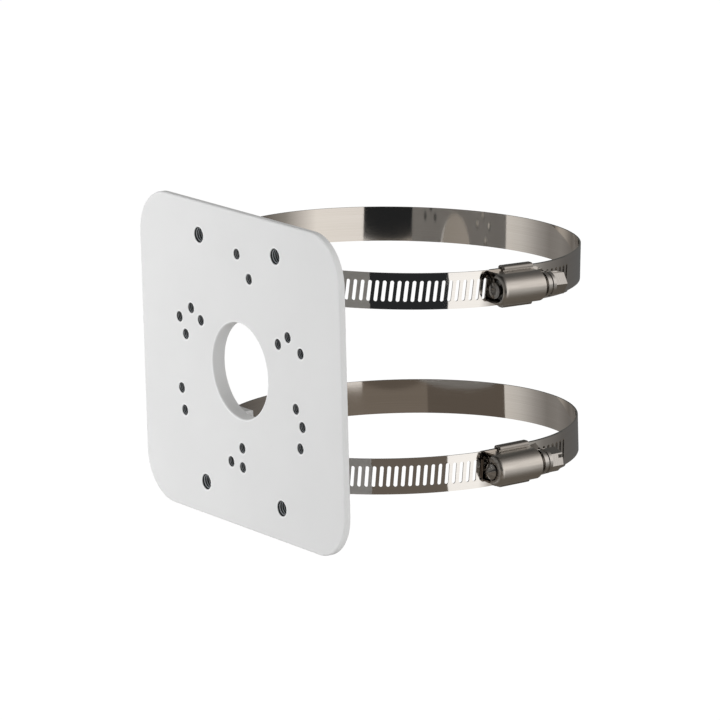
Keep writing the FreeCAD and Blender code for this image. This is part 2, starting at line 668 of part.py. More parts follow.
def clamp_placement(side):
    """The ring's centre and tilt: turned to its housing, then tilted about Y and about X."""
    back = size("ring_radius") + size(side + "_ring_near")
    centre = Vector(size(side + "_ring_side"), back, size(side + "_ring_high"))
    droop = Rotation(Vector(1, 0, 0), size(side + "_ring_droop"))
    roll = Rotation(Vector(0, 1, 0), size(side + "_ring_roll"))
    turn = Rotation(Vector(0, 0, 1), size(side + "_screw_turn"))
    return Placement(centre, droop * roll * turn)


def make_clamp(side):
    """One clamp: its strip, saddle, housing and screw, made in the ring's frame and then tilted."""
    ring = clamp_placement(side)
    screw_seat = Placement(Vector(size("flat_side") + size("screw_height"), 0, 0), Rotation())
    band = make_band(side)
    saddle = make_saddle(side)
    housing = make_housing(side)
    screw = make_screw(side)
    for piece in (band, saddle, housing):
        piece.Placement = ring
    screw.Placement = ring * screw_seat
    axis = screw.Placement.Rotation.multVec(Vector(0, 1, 0))
    print(f"{side} screw: centre {tuple(round(v, 4) for v in screw.Placement.Base)}, "
          f"axis {tuple(round(v, 6) for v in axis)}")
    return [band, saddle, housing, screw]


def add_worked_out_sizes():
    """Cells that follow from the driving dimensions: where the flat stretch and the feet are."""
    rows = [
        ("flat_side", "=ring_radius - flat_depth"),
        ("foot_bottom", "=flat_side + band_thickness * 1.5 + band_lap_gap + fit_gap"),
        ("foot_top", "=foot_bottom + housing_sheet"),
    ]
    for row, (alias, formula) in enumerate(rows, start=len(DIMENSIONS) + 2):
        sheet.set(f"A{row}", alias)
        sheet.set(f"B{row}", formula)
        sheet.setAlias(f"B{row}", alias)
        doc.recompute()


def write_parts(pieces):
    """Check every object and every piece, then write one file for each piece."""
    doc.recompute()
    for item in doc.Objects:
        if "Invalid" in item.State or "Error" in item.State:
            raise ValueError(f"{item.Label} is not valid: {item.State}")
    for piece in pieces:
        if piece.Shape.isNull() or not piece.Shape.isValid():
            raise ValueError(f"{piece.Label} has no valid shape")
    os.makedirs("parts", exist_ok=True)
    for piece in pieces:
        piece.Shape.exportStep(f"parts/{piece.Label}.step")
        print(f"{piece.Label}: {len(piece.Shape.Solids)} solid, {piece.Shape.Volume:.1f} mm3")


add_worked_out_sizes()
write_parts([make_plate()] + make_clamp("upper") + make_clamp("lower"))
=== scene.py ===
"""The looks of a pole mount bracket: a white powder-coated plate and two bright hose clamps.

The frame is in metres. The plate's front face is the plane Y = 0 and looks along -Y, and +Z is up."""

import json
import math

import bpy
import numpy as np
from mathutils import Matrix, Vector


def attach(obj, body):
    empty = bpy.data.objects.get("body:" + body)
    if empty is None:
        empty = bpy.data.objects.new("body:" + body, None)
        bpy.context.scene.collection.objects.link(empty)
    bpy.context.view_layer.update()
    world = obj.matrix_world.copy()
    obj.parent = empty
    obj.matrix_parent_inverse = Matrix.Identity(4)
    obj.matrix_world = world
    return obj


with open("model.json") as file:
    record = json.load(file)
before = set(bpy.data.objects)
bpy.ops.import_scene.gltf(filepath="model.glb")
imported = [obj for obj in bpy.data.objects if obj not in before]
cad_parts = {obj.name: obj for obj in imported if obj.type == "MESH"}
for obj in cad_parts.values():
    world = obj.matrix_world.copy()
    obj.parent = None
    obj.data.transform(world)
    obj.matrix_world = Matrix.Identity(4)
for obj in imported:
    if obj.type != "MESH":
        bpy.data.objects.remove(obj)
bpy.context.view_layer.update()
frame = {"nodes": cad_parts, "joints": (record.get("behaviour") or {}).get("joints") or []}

MM = 0.001

# The photograph's camera, in millimetres and degrees; it looks at the plate's front from the right and above
FRAME_PIXELS = 720
FOCAL_PIXELS = 4927.3
CAMERA_AZIMUTH = 55.118
CAMERA_HEIGHT_ANGLE = 13.518
CAMERA_ROLL = -1.3996
CAMERA_DISTANCE = 1852.28
CAMERA_RIGHT = 45.20
CAMERA_UP = 4.192
SENSOR_WIDTH = 36.0
# how far it sees, in metres
CAMERA_REACH = 50.0

# The plate's holes
SMALL_HOLE = 4.0 * MM
LARGE_HOLE = 6.0 * MM
HOLE_BEVEL = 0.25 * MM
SHEET_BACK = 2.5 * MM
PAD_BACK = 5.5 * MM
PAD_HALF_WIDTH = 48.0 * MM
PAD_HALF_HEIGHT = 26.5 * MM
LARGE_HOLE_DEPTH = 14.0 * MM
CABLE_HOLE = 37.0 * MM
# each circle of small holes: its diameter, the angle of its first hole and how many it has
HOLE_CIRCLES = [(60.0 * MM, 30.0, 3), (75.0 * MM, 30.0, 3), (75.0 * MM, 78.0, 4), (90.0 * MM, -30.0, 3)]
SIDE_HOLES = (81.4 * MM, 28.0 * MM)
CORNER_HOLES = (51.1 * MM, 96.5 * MM)

# The threads in the holes. Depth and fading start are counted in pitches, and the radii of the root and of
# the sleeve's outside are shares of the hole's radius.
SMALL_PITCH = 0.7 * MM
LARGE_PITCH = 1.0 * MM
THREAD_DEPTH = 0.50
THREAD_FADE = 0.6
THREAD_ROOT = 0.992
THREAD_WALL = 0.998

# The worm's thread, which lies over the CAD screw's core and stays below the band's slots
WORM_ROOT = 4.02 * MM
WORM_CREST = 4.80 * MM
WORM_INSIDE = 3.90 * MM
WORM_PITCH = 2.742 * MM
WORM_START = -8.3 * MM
WORM_END = 7.6 * MM
# how steep its flanks are, and the length of its fading ends in pitches
WORM_STEEPNESS = 0.95
WORM_FADE = 0.5

# The middle of each clamp's ring, the radius halfway through its band, and its screw's joint
BAND_RADIUS = 69.0 * MM
RING_CENTRES = {
    "upper": Vector((1.3, 73.7, 33.7)) * MM,
    "lower": Vector((0.45, 72.1, -36.7)) * MM,
}
JOINTS = {joint["name"].split("_")[0]: joint for joint in frame["joints"]}

# The floor, and how much of what the camera sees there is its own glow
FLOOR_HEIGHT = -0.24
FLOOR_HALF = 6.0
FLOOR_TONE = (0.93, 0.93, 0.93)
FLOOR_GLOW = 1.09
FLOOR_GLOW_SHARE = 0.9

# What the metal mirrors, by compass direction: 0 is +X and 90 is +Y. Each tone is a linear colour, times
# STUDIO_STRENGTH. The first row is seen just below the horizon, the second above it.
STUDIO_STRENGTH = 1.25
STUDIO_LOW = [
    (-180, (0.19, 0.18, 0.17)), (-165, (0.27, 0.26, 0.25)), (-150, (0.25, 0.24, 0.23)),
    (-138, (0.38, 0.37, 0.36)), (-122, (0.66, 0.65, 0.63)), (-108, (0.78, 0.76, 0.73)),
    (-94, (0.42, 0.40, 0.37)), (-84, (0.36, 0.335, 0.305)), (-66, (0.32, 0.30, 0.27)),
    (-40, (0.50, 0.465, 0.42)), (-24, (0.50, 0.465, 0.42)), (-15, (0.97, 0.95, 0.93)),
    (20, (1.0, 0.98, 0.95)), (30, (0.72, 0.70, 0.68)), (44, (0.34, 0.33, 0.31)),
    (62, (0.18, 0.17, 0.16)), (90, (0.11, 0.105, 0.10)), (130, (0.095, 0.095, 0.095)),
    (158, (0.11, 0.11, 0.11)), (180, (0.19, 0.18, 0.17)),
]
STUDIO_HIGH = [
    (-180, (0.08, 0.08, 0.08)), (-120, (0.22, 0.22, 0.21)), (-60, (0.14, 0.13, 0.12)),
    (-14, (0.14, 0.13, 0.12)), (-6, (1.0, 0.97, 0.93)), (48, (1.0, 0.96, 0.92)),
    (62, (0.84, 0.80, 0.76)), (78, (0.55, 0.52, 0.49)), (95, (0.36, 0.34, 0.32)),
    (112, (0.20, 0.19, 0.18)), (135, (0.10, 0.10, 0.095)), (180, (0.06, 0.06, 0.06)),
]
# the heights between which the first row turns into the second, as sines of the angle above the horizon
STUDIO_HORIZON = (-0.09, 0.14)
# how bright the studio is and how much of it is the table, by that sine from -1 to 1 laid along a ramp
STUDIO_CEILING = [(0.50, 1.0), (0.78, 1.0), (0.86, 0.62), (0.93, 0.22), (1.0, 0.12)]
STUDIO_TABLE = [(0.0, 1.0), (0.14, 1.0), (0.40, 0.0), (1.0, 0.0)]
TABLE_TONE = (0.145, 0.128, 0.108)
# the light that falls on surfaces, by the direction along Y: from the front, the side and behind
FRONT_LIGHT = 0.53
SIDE_LIGHT = 0.37
BACK_LIGHT = (0.140, 0.130, 0.117)
FALLING_LIGHT = [
    (0.0, FRONT_LIGHT), (0.35, FRONT_LIGHT), (0.5, SIDE_LIGHT), (0.66, BACK_LIGHT), (1.0, BACK_LIGHT),
]

# Cards that stand beside the clamps, for the dark zones in their mirror images. The black one is high enough
# for the upper clamp, and the brown ones are low enough for the lower clamp alone. Each row gives the name,
# the left and right ends in plan, the lower edge's height at both, the upper edge's height, and the tone.
CARD_LEFT = (0.125, -0.125)
CARD_RIGHT = (0.234, 0.0345)
CARD_END = (0.238, 0.090)
CARD_FRONT = (-0.155, -0.235)
BLACK_TONE = (0.025, 0.027, 0.029)
BROWN_TONE = (0.158, 0.134, 0.112)
LIGHT_BROWN_TONE = (0.250, 0.216, 0.182)
CARDS = [
    ("black_card", CARD_LEFT, CARD_RIGHT, (-0.0147, -0.0275), 0.050, BLACK_TONE),
    ("brown_card", CARD_LEFT, CARD_RIGHT, (-0.090, -0.090), -0.042, BROWN_TONE),
    ("low_brown_card", CARD_LEFT, CARD_RIGHT, (-0.130, -0.130), -0.090, LIGHT_BROWN_TONE),
    ("low_brown_wing", CARD_RIGHT, CARD_END, (-0.130, -0.130), -0.092, LIGHT_BROWN_TONE),
    ("front_brown_card", CARD_FRONT, CARD_LEFT, (-0.180, -0.150), -0.076, BROWN_TONE),
]

# Each lamp's name, its place, the point that it looks at, its size and its power
LAMPS = [
    ("front_lamp", (-0.5, -0.5, 0.08), (0.0, 0.0, 0.0), 0.45, 2.85),
    ("right_lamp", (1.5, -0.02, 0.05), (0.06, 0.0, 0.0), 0.5, 6.7),
    ("top_lamp", (0.05, -0.02, 1.5), (0.0, 0.0, 0.06), 0.5, 4.0),
]

# The parts of a noise's range over which tones and roughness are spread
GRAIN_SPAN = (0.25, 0.75)
NOISE_SPAN = (0.3, 0.7)

# The paint: its tones, its mottle, and the orange peel's fineness, height and strength
PAINT_TONES = (0.770, 0.774, 0.775), (0.790, 0.794, 0.795)
PAINT_ROUGHNESS = 0.42
MOTTLE_SCALE = 30.0
PEEL_SCALE = 900.0
PEEL_HEIGHT = 0.02 * MM
PEEL_STRENGTH = 0.35
# the painted highlight ring round each hole's rim: how far outside the hole it lies, its half width, the
# depths behind the front face between which it fades, its tone and its strength
HIGHLIGHT_RING_OFFSET = 0.45 * MM
HIGHLIGHT_RING_HALF_WIDTH = 0.42 * MM
HIGHLIGHT_RING_DEPTHS = (0.05 * MM, 0.4 * MM)
HIGHLIGHT_RING_TONE = (0.94, 0.945, 0.95)
HIGHLIGHT_RING_STRENGTH = 0.8

# The metals. Each pair of tones is the darker and the lighter one, and the saddle's tones are painted
# shade, a darker copy of the housing's steel.
# The band's inside is painted shade, a darker and warmer copy of its outside, and turns into its outside
# within BAND_BLEND of its middle. A bump is its height and strength.
BAND_OUTSIDE_TONES = (0.69, 0.67, 0.645), (0.76, 0.74, 0.715)
BAND_SHADED_INSIDE_TONES = (0.54, 0.505, 0.465), (0.60, 0.565, 0.53)
BAND_BLEND = 0.1 * MM
BAND_ROUGHNESS = (0.04, 0.07)
BAND_LINES = {"Lines": 3200.0, "Stretch": 14.0}
BAND_BUMP = (0.003 * MM, 0.25)
HOUSING_TONES = (0.50, 0.475, 0.445), (0.57, 0.545, 0.515)
SADDLE_SHADED_TONES = (0.30, 0.285, 0.265), (0.36, 0.34, 0.32)
PRESSED_ROUGHNESS = (0.27, 0.34)
PRESSED_LINES = {"Lines": 1800.0, "Stretch": 120.0}
PRESSED_BUMP = (0.006 * MM, 0.3)
SCREW_TONES = (0.42, 0.405, 0.39), (0.53, 0.515, 0.495)
SCREW_ROUGHNESS = (0.14, 0.22)
SCREW_RINGS = 2600.0
SCREW_BUMP = (0.01 * MM, 0.4)
# the threads in the holes: the tones of root and crest, painted shade at the root and a painted highlight at
# the crest, and the ridge heights that they belong to
SMALL_THREAD_SHADE_HIGHLIGHT_TONES = (0.045, 0.05, 0.055), (0.62, 0.65, 0.68)
LARGE_THREAD_SHADE_HIGHLIGHT_TONES = (0.035, 0.04, 0.045), (0.80, 0.84, 0.88)
THREAD_SHADE_HIGHLIGHT_HEIGHTS = (0.50, 0.88)
THREAD_UNEVENNESS = 0.08
THREAD_SPECKLE_SCALE = 2500.0
THREAD_METALLIC = 0.35
THREAD_ROUGHNESS = 0.42


class Nodes:
    """A short way to add nodes to a tree and to link them."""

    def __init__(self, tree):
        self.tree = tree

    def add(self, kind, **values):
        node = self.tree.nodes.new(kind)
        for name, value in values.items():
            setattr(node, name, value)
        return node

    def join(self, source, target):
        self.tree.links.new(source, target)

    def put(self, value, socket):
        """Link a socket, or set a plain number or colour."""
        if isinstance(value, bpy.types.NodeSocket):
            self.join(value, socket)
        else:
            socket.default_value = value

    def math(self, operation, *values):
        node = self.add("ShaderNodeMath", operation=operation)
        for value, socket in zip(values, node.inputs):
            self.put(value, socket)
        return node.outputs[0]

    def span(self, value, low, high, out_low=0.0, out_high=1.0, smooth=False):
        """The value carried over from low..high to out_low..out_high, and held at both ends."""
        kind = "SMOOTHSTEP" if smooth else "LINEAR"
        node = self.add("ShaderNodeMapRange", interpolation_type=kind)
        for number, socket in zip((value, low, high, out_low, out_high), node.inputs):
            self.put(number, socket)
        return node.outputs[0]

    def ramp(self, value, stops):
        """A colour ramp; each stop is its place and its grey or its colour."""
        node = self.add("ShaderNodeValToRGB")
        elements = node.color_ramp.elements
        while len(elements) < len(stops):
            elements.new(0.5)
        for element, (place, tone) in zip(elements, stops):
            element.position = place
            colour = tone if isinstance(tone, tuple) else (tone, tone, tone)
            element.color = (*colour, 1.0)
        self.put(value, node.inputs["Fac"])
        return node.outputs["Color"]

    def mix(self, factor, first, second):
        node = self.add("ShaderNodeMix", data_type="RGBA")
        colours = [socket for socket in node.inputs if socket.type == "RGBA"]
        self.put(factor, node.inputs["Factor"])
        self.put(first, colours[0])
        self.put(second, colours[1])
        return [socket for socket in node.outputs if socket.type == "RGBA"][0]

    def noise(self, position, scale, detail=2.0):
        node = self.add("ShaderNodeTexNoise")
        self.join(position, node.inputs["Vector"])
        node.inputs["Scale"].default_value = scale
        node.inputs["Detail"].default_value = detail
        return node.outputs["Fac"]

    def split(self, vector):
        """A node whose outputs are the vector's X, Y and Z."""
        node = self.add("ShaderNodeSeparateXYZ")
        self.join(vector, node.inputs[0])
        return node

    def vector(self, **values):
        node = self.add("ShaderNodeCombineXYZ")
        for name, value in values.items():
            self.put(value, node.inputs[name])
        return node.outputs[0]

    def object_position(self):
        return self.add("ShaderNodeTexCoord").outputs["Object"]


def empty_material(name):
    """A material without any node, and the means to add some."""
    material = bpy.data.materials.new(name)
    material.use_nodes = True
    material.node_tree.nodes.clear()
    return material, Nodes(material.node_tree)


# Camera, light and surroundings

def make_camera():
    """The camera that was fitted to the photograph."""
    azimuth = math.radians(CAMERA_AZIMUTH)
    height = math.radians(CAMERA_HEIGHT_ANGLE)
    roll = math.radians(CAMERA_ROLL)
    level = math.cos(height)
    back = Vector((math.sin(azimuth) * level, -math.cos(azimuth) * level, math.sin(height)))
    right = (-back).cross(Vector((0, 0, 1))).normalized()
    up = right.cross(-back)
    rolled_right = math.cos(roll) * right + math.sin(roll) * up
    rolled_up = -math.sin(roll) * right + math.cos(roll) * up
    place = (CAMERA_RIGHT * rolled_right + CAMERA_UP * rolled_up + CAMERA_DISTANCE * back) * MM
    data = bpy.data.cameras.new("photo_camera")
    data.sensor_width = SENSOR_WIDTH
    data.lens = FOCAL_PIXELS * SENSOR_WIDTH / FRAME_PIXELS
    data.clip_end = CAMERA_REACH
    camera = bpy.data.objects.new("photo_camera", data)
    turn = Matrix((rolled_right, rolled_up, back)).transposed()
    camera.matrix_world = Matrix.Translation(place) @ turn.to_4x4()
    bpy.context.scene.collection.objects.link(camera)
    bpy.context.scene.camera = camera


def compass_ramp(n, place, row):
    """A row of the studio, laid along a ramp that goes once round the compass."""
    return n.ramp(place, [((angle + 180) / 360, tone) for angle, tone in row])


def studio_world():
    """White to the camera, even and pale as light, and a studio of light and dark walls in the metal."""
    world = bpy.data.worlds.new("studio")
    bpy.context.scene.world = world
    world.use_nodes = True
    world.node_tree.nodes.clear()
    n = Nodes(world.node_tree)
    parts = n.split(n.add("ShaderNodeTexCoord").outputs["Generated"])
    compass = n.math("ARCTAN2", parts.outputs["Y"], parts.outputs["X"])
    place = n.span(compass, -math.pi, math.pi)
    above = n.span(parts.outputs["Z"], *STUDIO_HORIZON, smooth=True)
    walls = n.mix(above, compass_ramp(n, place, STUDIO_LOW), compass_ramp(n, place, STUDIO_HIGH))
    height = n.span(parts.outputs["Z"], -1.0, 1.0)
    table = n.mix(n.ramp(height, STUDIO_TABLE), walls, (*TABLE_TONE, 1.0))
    ceiling = n.math("MULTIPLY", n.ramp(height, STUDIO_CEILING), STUDIO_STRENGTH)
    mirrored = n.add("ShaderNodeVectorMath", operation="SCALE")
    n.join(table, mirrored.inputs[0])
    n.join(ceiling, mirrored.inputs["Scale"])
    shade = n.ramp(n.span(parts.outputs["Y"], -1.0, 1.0), FALLING_LIGHT)
    rays = n.add("ShaderNodeLightPath")
    lit = n.mix(rays.outputs["Is Glossy Ray"], shade, mirrored.outputs[0])
    seen = n.mix(rays.outputs["Is Camera Ray"], lit, (1.0, 1.0, 1.0, 1.0))
    background = n.add("ShaderNodeBackground")
    n.join(seen, background.inputs["Color"])
    n.join(background.outputs[0], n.add("ShaderNodeOutputWorld").inputs["Surface"])


def flat_sheet(name, corners, material):
    """An object that is a single face with four corners."""
    mesh = bpy.data.meshes.new(name)
    mesh.from_pydata(corners, [], [(0, 1, 2, 3)])
    mesh.materials.append(material)
    sheet = bpy.data.objects.new(name, mesh)
    bpy.context.scene.collection.objects.link(sheet)
    return sheet


def make_cards():
    """The cards beside the clamps, which only glossy rays meet."""
    for name, left, right, lows, top, tone in CARDS:
        material, n = empty_material(name + "_paper")
        paper = n.add("ShaderNodeEmission")
        paper.inputs["Color"].default_value = (*tone, 1.0)
        n.join(paper.outputs[0], n.add("ShaderNodeOutputMaterial").inputs["Surface"])
        corners = [(*left, lows[0]), (*right, lows[1]), (*right, top), (*left, top)]
        card = flat_sheet(name, corners, material)
        card.visible_camera = False
        card.visible_diffuse = False
        card.visible_shadow = False
        card.visible_transmission = False


def area_light(name, place, target, size, power):
    """A soft square lamp that looks at a point. The metal doesn't mirror it."""
    data = bpy.data.lights.new(name, "AREA")
    data.shape = "SQUARE"
    data.size = size
    data.energy = power
    lamp = bpy.data.objects.new(name, data)
    lamp.location = place
    look = Vector(target) - Vector(place)
    lamp.rotation_euler = look.to_track_quat("-Z", "Y").to_euler()
    lamp.visible_glossy = False
    bpy.context.scene.collection.objects.link(lamp)


def make_floor():
    """A plain pale floor that keeps the shadow and looks white to the camera. The metal doesn't mirror it."""
    material, n = empty_material("pale_floor")
    diffuse = n.add("ShaderNodeBsdfDiffuse")
    diffuse.inputs["Color"].default_value = (*FLOOR_TONE, 1.0)
    glow = n.add("ShaderNodeEmission")
    glow.inputs["Strength"].default_value = FLOOR_GLOW
    rays = n.add("ShaderNodeLightPath")
    blend = n.add("ShaderNodeMixShader")
    n.join(n.math("MULTIPLY", rays.outputs["Is Camera Ray"], FLOOR_GLOW_SHARE), blend.inputs["Fac"])
    n.join(diffuse.outputs[0], blend.inputs[1])
    n.join(glow.outputs[0], blend.inputs[2])
    n.join(blend.outputs[0], n.add("ShaderNodeOutputMaterial").inputs["Surface"])
    signs = [(-1, -1), (1, -1), (1, 1), (-1, 1)]
    floor = flat_sheet("floor", [(x * FLOOR_HALF, y * FLOOR_HALF, FLOOR_HEIGHT) for x, y in signs], material)
    floor.visible_glossy = False


# Surfaces worked out on grids

def closed_mesh(points):
    """Points and faces from a grid of the shape (rows, columns, 3), closed both ways."""
    rows, columns = points.shape[:2]
    index = np.arange(rows * columns).reshape(rows, columns)
    index = np.vstack([index, index[:1]])
    index = np.hstack([index, index[:, :1]])
    faces = np.stack([index[:-1, :-1], index[:-1, 1:], index[1:, 1:], index[1:, :-1]], axis=-1)
    return points.reshape(-1, 3), faces.reshape(-1, 4)


def face_outwards(piece):
    """Turn the faces of a closed piece outwards."""
    bpy.context.view_layer.objects.active = piece
    piece.select_set(True)
    bpy.ops.object.mode_set(mode="EDIT")
    bpy.ops.mesh.select_all(action="SELECT")
    bpy.ops.mesh.normals_make_consistent(inside=False)
    bpy.ops.object.mode_set(mode="OBJECT")
    piece.select_set(False)


def joined_piece(name, parts, material, body):
    """One smooth object from several closed (points, faces) parts, riding on a body.

    A part may hold a third array, how high each point lies on its thread's ridge."""
    points = np.concatenate([part[0] for part in parts])
    starts = np.cumsum([0] + [len(part[0]) for part in parts[:-1]])
    faces = np.concatenate([part[1] + start for part, start in zip(parts, starts)])
    mesh = bpy.data.meshes.new(name)
    mesh.from_pydata(points.tolist(), [], faces.tolist())
    mesh.polygons.foreach_set("use_smooth", np.ones(len(faces), dtype=bool))
    mesh.materials.append(material)
    if len(parts[0]) == 3:
        heights = mesh.attributes.new("ridge_height", "FLOAT", "POINT")
        heights.data.foreach_set("value", np.concatenate([part[2] for part in parts]))
    mesh.update()
    piece = bpy.data.objects.new(name, mesh)
    bpy.context.scene.collection.objects.link(piece)
    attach(piece, body)
    face_outwards(piece)


def hole_places():
    """The centre of every small hole and of every large one, as (x, z) pairs."""
    small = []
    for diameter, turn, count in HOLE_CIRCLES:
        for step in range(count):
            angle = math.radians(turn + 360.0 * step / count)
            small.append((diameter / 2 * math.cos(angle), diameter / 2 * math.sin(angle)))
    signs = [(x, z) for x in (-1, 1) for z in (-1, 1)]
    small += [(x * SIDE_HOLES[0] / 2, z * SIDE_HOLES[1] / 2) for x, z in signs]
    large = [(x * CORNER_HOLES[0] / 2, z * CORNER_HOLES[1] / 2) for x, z in signs]
    return small, large


def hole_back(x, z):
    """How far back a small hole goes: through the pad, or only through the sheet."""
    in_pad = abs(x) < PAD_HALF_WIDTH and abs(z) < PAD_HALF_HEIGHT
    return PAD_BACK if in_pad else SHEET_BACK


def thread_lining(x, z, radius, pitch, back, around=28, per_turn=8):
    """The thread inside one hole: a sleeve whose inner radius goes up and down along a helix.

    Radius = root - depth * ridge(y / pitch - angle / 2 pi), where the ridge is a cosine wave from 0 to 1,
    and its height fades to nothing at the front. The outside of the sleeve is the hole's own wall."""
    front = HOLE_BEVEL
    rows = int(round((back - front) / pitch * per_turn)) + 1
    y = np.linspace(front, back, rows)[:, None]
    angle = np.linspace(0, 2 * np.pi, around, endpoint=False)[None, :]
    ridge = 0.5 - 0.5 * np.cos(2 * np.pi * (y / pitch - angle / (2 * np.pi)))
    fade = np.clip((y - front) / (THREAD_FADE * pitch), 0, 1)
    inner = radius * THREAD_ROOT - THREAD_DEPTH * pitch * ridge * fade
    outer = np.full((1, around), radius * THREAD_WALL)
    radii = np.vstack([inner, outer, outer])
    depths = np.vstack([np.repeat(y, around, axis=1), np.full((1, around), back),
                        np.full((1, around), front)])
    points = np.stack([x + radii * np.cos(angle), depths, z + radii * np.sin(angle)], axis=-1)
    heights = np.vstack([ridge * fade, np.zeros((2, around))])
    return (*closed_mesh(points), heights.reshape(-1))


def worm_thread(joint, around=56, per_turn=14):
    """The worm's ridge: a tube round the screw whose radius goes up and down along a right-hand helix.

    Radius = root + height * ridge(distance / pitch - angle / 2 pi), where the ridge is a steep cosine wave,
    cut off flat at 0 and 1 and fading at both ends."""
    axis = Vector(joint["axis"]).normalized()
    side = axis.cross(Vector((0, 0, 1))).normalized()
    third = axis.cross(side)
    centre = np.array(joint["pos_m"])
    rows = int(round((WORM_END - WORM_START) / WORM_PITCH * per_turn)) + 1
    along = np.linspace(WORM_START, WORM_END, rows)[:, None]
    angle = np.linspace(0, 2 * np.pi, around, endpoint=False)[None, :]
    wave = np.cos(2 * np.pi * (along / WORM_PITCH - angle / (2 * np.pi)))
    ridge = np.clip(0.5 + WORM_STEEPNESS * wave, 0, 1)
    fade = np.clip(np.minimum(along - WORM_START, WORM_END - along) / (WORM_FADE * WORM_PITCH), 0, 1)
    outside = WORM_ROOT + (WORM_CREST - WORM_ROOT) * ridge * fade
    inside = np.full((1, around), WORM_INSIDE)
    radii = np.vstack([outside, inside, inside])
    steps = np.vstack([np.repeat(along, around, axis=1), np.full((1, around), WORM_END),
                       np.full((1, around), WORM_START)])
    points = (centre + steps[..., None] * np.array(axis)
              + (radii * np.cos(angle))[..., None] * np.array(side)
              + (radii * np.sin(angle))[..., None] * np.array(third))
    return closed_mesh(points)


# Materials

def new_group(name, inputs, outputs):
    """An empty shader node group with named sockets."""
    tree = bpy.data.node_groups.new(name, "ShaderNodeTree")
    for label, kind, value in inputs:
        socket = tree.interface.new_socket(label, in_out="INPUT", socket_type=kind)
        if value is not None:
            socket.default_value = value
    for label, kind in outputs:
        tree.interface.new_socket(label, in_out="OUTPUT", socket_type=kind)
    n = Nodes(tree)
    return tree, n, n.add("NodeGroupInput"), n.add("NodeGroupOutput")


def drawn_grain_group():
    """Fine lines along one direction, as rolling and drawing leave on steel strip.

    It stretches noise along the Position's X and Y and packs it along Z. It gives lines and blotches."""
    tree, n, start, end = new_group(
        "drawn_grain",
        [("Position", "NodeSocketVector", None), ("Lines", "NodeSocketFloat", 4000.0),
         ("Stretch", "NodeSocketFloat", 30.0)],
        [("Lines", "NodeSocketFloat"), ("Blotches", "NodeSocketFloat")])
    parts = n.split(start.outputs["Position"])
    packed = n.vector(
        X=n.math("MULTIPLY", parts.outputs["X"], start.outputs["Stretch"]),
        Y=n.math("MULTIPLY", parts.outputs["Y"], start.outputs["Stretch"]),
        Z=n.math("MULTIPLY", parts.outputs["Z"], start.outputs["Lines"]))
    n.join(n.noise(packed, 1.0, detail=4.0), end.inputs["Lines"])
    n.join(n.noise(start.outputs["Position"], 60.0, detail=3.0), end.inputs["Blotches"])
    return tree


def turned_rings_group():
    """Rings round an axis, as a lathe leaves on a screw.

    Noise of the distance along the axis alone; the Position's Y runs along the axis."""
    tree, n, start, end = new_group(
        "turned_rings",
        [("Position", "NodeSocketVector", None), ("Rings", "NodeSocketFloat", 2600.0)],
        [("Rings", "NodeSocketFloat")])
    parts = n.split(start.outputs["Position"])
    noise = n.add("ShaderNodeTexNoise", noise_dimensions="1D")
    n.join(n.math("MULTIPLY", parts.outputs["Y"], start.outputs["Rings"]), noise.inputs["W"])
    noise.inputs["Scale"].default_value = 1.0
    noise.inputs["Detail"].default_value = 3.0
    n.join(noise.outputs["Fac"], end.inputs["Rings"])
    return tree


def new_material(name):
    """A material with only a Principled shader and its output."""
    material, n = empty_material(name)
    shader = n.add("ShaderNodeBsdfPrincipled")
    n.join(shader.outputs[0], n.add("ShaderNodeOutputMaterial").inputs["Surface"])
    return material, n, shader


def use_group(n, tree, **values):
    """Place a group in a material; the values are numbers or sockets for its inputs."""
    node = n.add("ShaderNodeGroup")
    node.node_tree = tree
    for name, value in values.items():
        n.put(value, node.inputs[name])
    return node


def two_tones(n, value, span, tones):
    """The first tone at the span's start and the second at its end."""
    return n.ramp(value, list(zip(span, tones)))


def bump(n, shader, height, distance, strength):
    """Bumps as high as the distance, put on the shader's normal."""
    node = n.add("ShaderNodeBump")
    node.inputs["Strength"].default_value = strength
    node.inputs["Distance"].default_value = distance
    n.join(height, node.inputs["Height"])
    n.join(node.outputs[0], shader.inputs["Normal"])


def powder_coat(small, large):
    """White powder coat: a fine orange peel, a slight mottle, and a faint painted highlight ring round each
    hole's rim.
    """
    material, n, shader = new_material("white_powder_coat")
    position = n.object_position()
    paint = two_tones(n, n.noise(position, MOTTLE_SCALE), NOISE_SPAN, PAINT_TONES)
    parts = n.split(position)
    rings = None
    for places, hole in ((small, SMALL_HOLE), (large, LARGE_HOLE), ([(0.0, 0.0)], CABLE_HOLE)):
        for x, z in places:
            across = n.math("SUBTRACT", parts.outputs["X"], x)
            up = n.math("SUBTRACT", parts.outputs["Z"], z)
            squares = n.math("ADD", n.math("MULTIPLY", across, across), n.math("MULTIPLY", up, up))
            from_middle = n.math("SQRT", squares)
            gap = n.math("ABSOLUTE", n.math("SUBTRACT", from_middle, hole / 2 + HIGHLIGHT_RING_OFFSET))
            ring = n.span(gap, 0.0, HIGHLIGHT_RING_HALF_WIDTH, 1.0, 0.0, smooth=True)
            rings = ring if rings is None else n.math("MAXIMUM", rings, ring)
    # the rings are a painted highlight on each hole's rim, fading behind the front face
    near_front = n.span(parts.outputs["Y"], *HIGHLIGHT_RING_DEPTHS, 1.0, 0.0)
    highlight_ring = n.math("MULTIPLY", n.math("MULTIPLY", rings, near_front), HIGHLIGHT_RING_STRENGTH)
    n.join(n.mix(highlight_ring, paint, (*HIGHLIGHT_RING_TONE, 1.0)), shader.inputs["Base Color"])
    shader.inputs["Roughness"].default_value = PAINT_ROUGHNESS
    bump(n, shader, n.noise(position, PEEL_SCALE), PEEL_HEIGHT, PEEL_STRENGTH)
    return material


